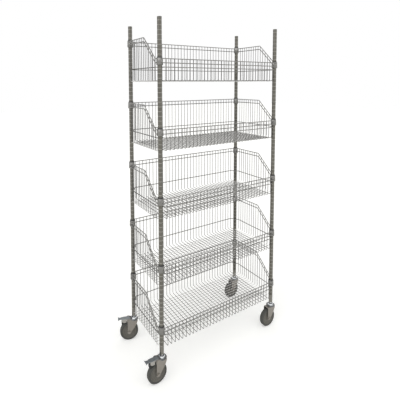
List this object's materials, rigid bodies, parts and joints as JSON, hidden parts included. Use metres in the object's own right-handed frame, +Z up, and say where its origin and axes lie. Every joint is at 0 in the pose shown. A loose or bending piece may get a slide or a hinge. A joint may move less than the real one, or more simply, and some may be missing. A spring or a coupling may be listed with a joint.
{
  "type": "bakery bread rack",
  "caption": "Mobile chrome rack: grooved round posts on swivel casters carry welded wire baskets with a high back, sloping sides and a low front lip for bread.",
  "frame": {"origin": "middle of the outline on the floor", "axes": "+X along the rack to its right end, +Y to its high back, +Z up"},
  "size_m": [1.0034, 0.4542, 2.0318],
  "materials": {
    "chrome": "polished chrome plate",
    "bright_zinc": "bright zinc plate",
    "zinc": "zinc plated pressed steel",
    "dark_plastic": "moulded dark grey",
    "grey_plastic": "moulded grey",
    "core_plastic": "moulded grey wheel core",
    "tyre_rubber": "dark grey moulded rubber"
  },
  "bodies": {
    "rack_frame": {"post_rear_left": "chrome", "post_cap_rear_left": "grey_plastic", "caster_stem_rear_left": "bright_zinc", "post_front_left": "chrome", "post_cap_front_left": "grey_plastic", "caster_stem_front_left": "bright_zinc", "post_rear_right": "chrome", "post_cap_rear_right": "grey_plastic", "caster_stem_rear_right": "bright_zinc", "post_front_right": "chrome", "post_cap_front_right": "grey_plastic", "caster_stem_front_right": "bright_zinc", "basket_1": "chrome", "sleeve_1_rear_left": "dark_plastic", "sleeve_1_front_left": "dark_plastic", "sleeve_1_rear_right": "dark_plastic", "sleeve_1_front_right": "dark_plastic", "basket_2": "chrome", "sleeve_2_rear_left": "dark_plastic", "sleeve_2_front_left": "dark_plastic", "sleeve_2_rear_right": "dark_plastic", "sleeve_2_front_right": "dark_plastic", "basket_3": "chrome", "sleeve_3_rear_left": "dark_plastic", "sleeve_3_front_left": "dark_plastic", "sleeve_3_rear_right": "dark_plastic", "sleeve_3_front_right": "dark_plastic", "basket_4": "chrome", "sleeve_4_rear_left": "dark_plastic", "sleeve_4_front_left": "dark_plastic", "sleeve_4_rear_right": "dark_plastic", "sleeve_4_front_right": "dark_plastic", "basket_5": "chrome", "sleeve_5_rear_left": "dark_plastic", "sleeve_5_front_left": "dark_plastic", "sleeve_5_rear_right": "dark_plastic", "sleeve_5_front_right": "dark_plastic"},
    "caster_rear_left": {"caster_fork_rear_left": "zinc"},
    "wheel_rear_left": {"wheel_core_rear_left": "core_plastic", "wheel_tyre_rear_left": "tyre_rubber"},
    "pedal_rear_left": {"brake_pedal_rear_left": "zinc"},
    "caster_front_left": {"caster_fork_front_left": "zinc"},
    "wheel_front_left": {"wheel_core_front_left": "core_plastic", "wheel_tyre_front_left": "tyre_rubber"},
    "pedal_front_left": {"brake_pedal_front_left": "zinc"},
    "caster_rear_right": {"caster_fork_rear_right": "zinc"},
    "wheel_rear_right": {"wheel_core_rear_right": "core_plastic", "wheel_tyre_rear_right": "tyre_rubber"},
    "caster_front_right": {"caster_fork_front_right": "zinc"},
    "wheel_front_right": {"wheel_core_front_right": "core_plastic", "wheel_tyre_front_right": "tyre_rubber"}
  },
  "joints": [
    {"name": "swivel_rear_left", "type": "hinge", "parent": "rack_frame", "child": "caster_rear_left", "pos_m": [-0.39726, 0.17787, 0.138], "axis": [0, 0, 1], "continuous": true},
    {"name": "wheel_spin_rear_left", "type": "hinge", "parent": "caster_rear_left", "child": "wheel_rear_left", "pos_m": [-0.4277, 0.18776, 0.059], "axis": [0.309, 0.9511, 0], "continuous": true},
    {"name": "brake_rear_left", "type": "hinge", "parent": "caster_rear_left", "child": "pedal_rear_left", "pos_m": [-0.4334, 0.18961, 0.139], "axis": [-0.309, -0.9511, 0], "range_deg": [0, 10]},
    {"name": "swivel_front_left", "type": "hinge", "parent": "rack_frame", "child": "caster_front_left", "pos_m": [-0.39726, -0.19813, 0.138], "axis": [0, 0, 1], "continuous": true},
    {"name": "wheel_spin_front_left", "type": "hinge", "parent": "caster_front_left", "child": "wheel_front_left", "pos_m": [-0.42926, -0.19813, 0.059], "axis": [0, 1, 0], "continuous": true},
    {"name": "brake_front_left", "type": "hinge", "parent": "caster_front_left", "child": "pedal_front_left", "pos_m": [-0.43526, -0.19813, 0.139], "axis": [0, -1, 0], "range_deg": [0, 10]},
    {"name": "swivel_rear_right", "type": "hinge", "parent": "rack_frame", "child": "caster_rear_right", "pos_m": [0.47274, 0.17787, 0.138], "axis": [0, 0, 1], "continuous": true},
    {"name": "wheel_spin_rear_right", "type": "hinge", "parent": "caster_rear_right", "child": "wheel_rear_right", "pos_m": [0.44074, 0.17787, 0.059], "axis": [0, 1, 0], "continuous": true},
    {"name": "swivel_front_right", "type": "hinge", "parent": "rack_frame", "child": "caster_front_right", "pos_m": [0.47274, -0.19813, 0.138], "axis": [0, 0, 1], "continuous": true},
    {"name": "wheel_spin_front_right", "type": "hinge", "parent": "caster_front_right", "child": "wheel_front_right", "pos_m": [0.44074, -0.19813, 0.059], "axis": [0, 1, 0], "continuous": true}
  ]
}
